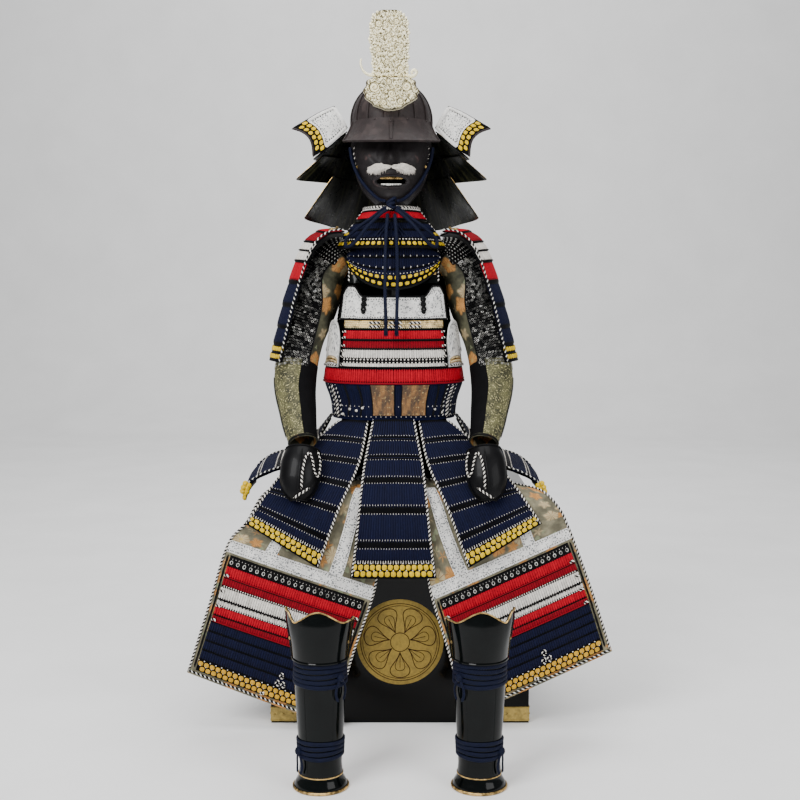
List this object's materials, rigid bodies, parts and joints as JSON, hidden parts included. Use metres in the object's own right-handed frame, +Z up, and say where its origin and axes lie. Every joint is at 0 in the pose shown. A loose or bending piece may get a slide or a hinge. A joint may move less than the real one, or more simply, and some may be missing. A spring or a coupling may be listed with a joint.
{
  "type": "samurai armour on armour box stand",
  "caption": "Laced samurai armour with crested helmet, mask, sleeves, thigh guards and shin guards, seated on its lacquered armour box for display.",
  "frame": {"origin": "on the floor, under the middle of the part's box", "axes": "+X to the viewer's right across the armour, +Y from the shin guards towards the back of the armour box, +Z up"},
  "size_m": [0.971, 0.8588, 1.628],
  "materials": {
    "box_lacquer": "gloss black lacquer on wood",
    "stand_wood": "dark satin wood",
    "russet_iron": "matte dark brown iron",
    "mask_iron": "pitted dark iron, worn reddish in places",
    "crest_metal": "pale silver-gold leaf, satin",
    "gilt_metal": "gilt, satin",
    "silvered_metal": "silvered, satin",
    "black_lacquer": "gloss black lacquer on iron and rawhide",
    "stencilled_leather": "white leather with small dark stencilled specks",
    "navy_lacing": "navy silk braid over lacquered boards",
    "navy_cord": "navy silk cord",
    "red_lacing": "red silk braid over lacquered boards",
    "brocade": "grey-green brocade with small gold and cream blossoms",
    "white_hair": "white brushed hair"
  },
  "bodies": {
    "root": {"armour_stand": "stand_wood", "bib": "navy_lacing", "box_body": "box_lacquer", "box_lid": "box_lacquer", "breast_plate": "stencilled_leather", "chin_cord_jaw_left": "navy_cord", "chin_cord_jaw_right": "navy_cord", "chin_cord_knot": "navy_cord", "chin_cord_loop_left": "navy_cord", "chin_cord_loop_right": "navy_cord", "chin_cord_tail_left": "navy_cord", "chin_cord_tail_right": "navy_cord", "crest_base": "crest_metal", "crest_blade": "crest_metal", "crest_prong": "russet_iron", "cuirass_back": "navy_lacing", "cuirass_front": "red_lacing", "cuirass_hoop": "red_lacing", "face_mask": "mask_iron", "greave_left": "black_lacquer", "greave_right": "black_lacquer", "hand_guard_left": "black_lacquer", "hand_guard_right": "black_lacquer", "helmet_bowl": "russet_iron", "helmet_visor": "russet_iron", "knee_plate_left": "black_lacquer", "knee_plate_right": "black_lacquer", "moustache": "white_hair", "neck_lame_1": "black_lacquer", "neck_lame_2": "black_lacquer", "neck_lame_3": "black_lacquer", "shoulder_guard_left": "navy_lacing", "shoulder_guard_right": "navy_lacing", "shoulder_strap_left": "black_lacquer", "shoulder_strap_right": "black_lacquer", "side_flap_left": "stencilled_leather", "side_flap_right": "stencilled_leather", "skirt_back_left": "navy_lacing", "skirt_back_right": "navy_lacing", "skirt_front": "navy_lacing", "skirt_front_side_left": "navy_lacing", "skirt_front_side_right": "navy_lacing", "skirt_side_left": "navy_lacing", "skirt_side_right": "navy_lacing", "sleeve_left": "brocade", "sleeve_right": "brocade", "teeth_lower": "silvered_metal", "teeth_upper": "gilt_metal", "thigh_band_left": "stencilled_leather", "thigh_band_right": "stencilled_leather", "thigh_boards_left": "navy_lacing", "thigh_boards_right": "navy_lacing", "thigh_cloth_left": "brocade", "thigh_cloth_right": "brocade", "throat_lame_lower": "navy_lacing", "throat_lame_upper": "red_lacing", "turnback_left": "stencilled_leather", "turnback_right": "stencilled_leather", "waist_lacing": "navy_lacing"}
  },
  "joints": []
}
